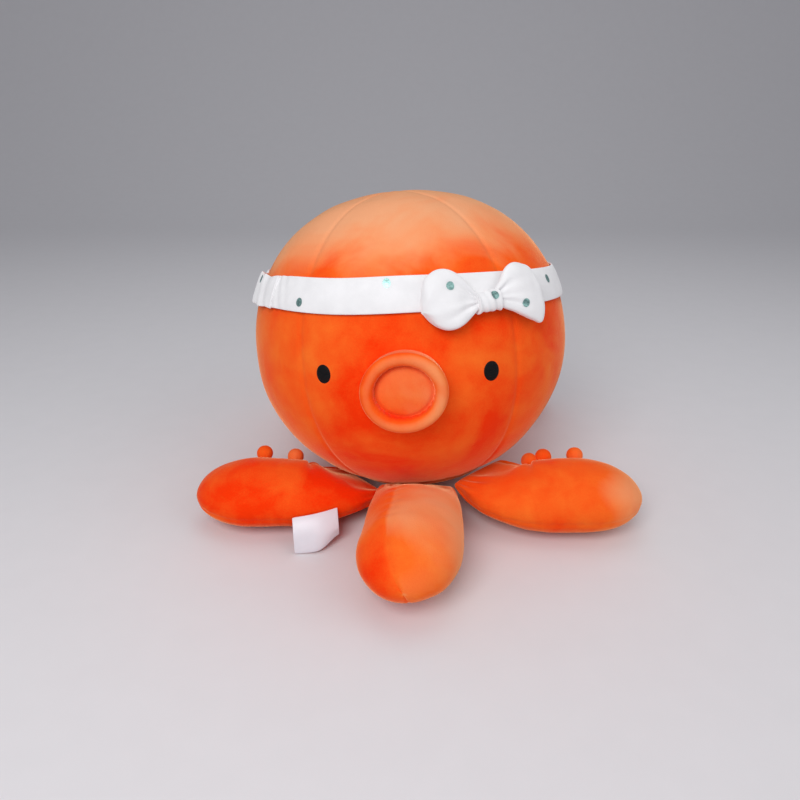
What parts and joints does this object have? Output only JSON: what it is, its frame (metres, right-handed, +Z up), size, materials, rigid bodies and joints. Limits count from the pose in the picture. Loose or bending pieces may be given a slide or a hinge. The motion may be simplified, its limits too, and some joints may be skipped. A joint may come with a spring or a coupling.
{
  "type": "plush octopus",
  "caption": "Soft stuffed octopus with a ball head of sewn gores, a ring mouth, jointed floppy legs with sucker balls, and a removable headband with a bow.",
  "frame": {"origin": "middle of the flat patch of the base on the floor", "axes": "+Z up, the face looks along -Y, +X is on the right of someone who faces the toy"},
  "size_m": [0.3743, 0.3914, 0.2603],
  "materials": {
    "plush": "short pile, brushed",
    "stuffing": "loose polyester fibre",
    "embroidery": "satin stitch",
    "velour": "soft short nap with foil dots",
    "elastic": "woven elastic",
    "satin": "smooth satin"
  },
  "bodies": {
    "head": {"front_gore": "plush", "right_front_gore": "plush", "right_rear_gore": "plush", "left_rear_gore": "plush", "left_front_gore": "plush", "base_panel": "plush", "head_filling": "stuffing", "mouth_ring": "plush", "mouth_ring_filling": "stuffing", "mouth_disc": "plush", "left_eye": "embroidery", "right_eye": "embroidery"},
    "front_leg": {"front_leg_narrow_panel": "plush", "front_leg_wide_panel": "plush", "front_leg_filling": "stuffing", "front_leg_suckers": "plush"},
    "right_leg": {"right_leg_narrow_panel": "plush", "right_leg_wide_panel": "plush", "right_leg_filling": "stuffing", "right_leg_suckers": "plush"},
    "rear_right_leg": {"rear_right_leg_narrow_panel": "plush", "rear_right_leg_wide_panel": "plush", "rear_right_leg_filling": "stuffing", "rear_right_leg_suckers": "plush"},
    "rear_left_leg": {"rear_left_leg_narrow_panel": "plush", "rear_left_leg_wide_panel": "plush", "rear_left_leg_filling": "stuffing", "rear_left_leg_suckers": "plush"},
    "left_leg": {"left_leg_narrow_panel": "plush", "left_leg_wide_panel": "plush", "left_leg_filling": "stuffing", "left_leg_suckers": "plush"},
    "care_tag": {"care_tag": "satin"},
    "headband": {"headband_strip": "velour", "headband_gathered_back": "velour", "headband_elastic": "elastic", "bow": "velour", "bow_knot": "velour"}
  },
  "joints": [
    {"name": "front_leg_root", "type": "hinge", "parent": "head", "child": "front_leg", "pos_m": [0.00723, -0.08945, 0.02376], "axis": [-0.9978, 0.0663, 0], "range_deg": [-62, 3]},
    {"name": "right_leg_root", "type": "hinge", "parent": "head", "child": "right_leg", "pos_m": [0.06169, -0.07112, 0.02712], "axis": [-0.7547, -0.6561, 0], "range_deg": [-62, 3]},
    {"name": "rear_right_leg_root", "type": "hinge", "parent": "head", "child": "rear_right_leg", "pos_m": [0.06069, 0.04355, 0.01237], "axis": [0.766, -0.6428, 0], "range_deg": [-62, 3]},
    {"name": "rear_left_leg_root", "type": "hinge", "parent": "head", "child": "rear_left_leg", "pos_m": [-0.03241, 0.04655, 0.00367], "axis": [0.8059, 0.592, 0], "range_deg": [-62, 3]},
    {"name": "left_leg_root", "type": "hinge", "parent": "head", "child": "left_leg", "pos_m": [-0.04201, -0.06659, 0.01489], "axis": [-0.6947, 0.7193, 0], "range_deg": [-62, 3]},
    {"name": "care_tag_fold", "type": "hinge", "parent": "left_leg", "child": "care_tag", "pos_m": [-0.09073, -0.13637, 0.02244], "axis": [-1, 0, 0], "range_deg": [0, 60]},
    {"name": "headband_lift", "type": "slide", "parent": "head", "child": "headband", "axis": [-0.0318, 0.1699, 0.9849], "range_m": [0, 0.11]}
  ]
}
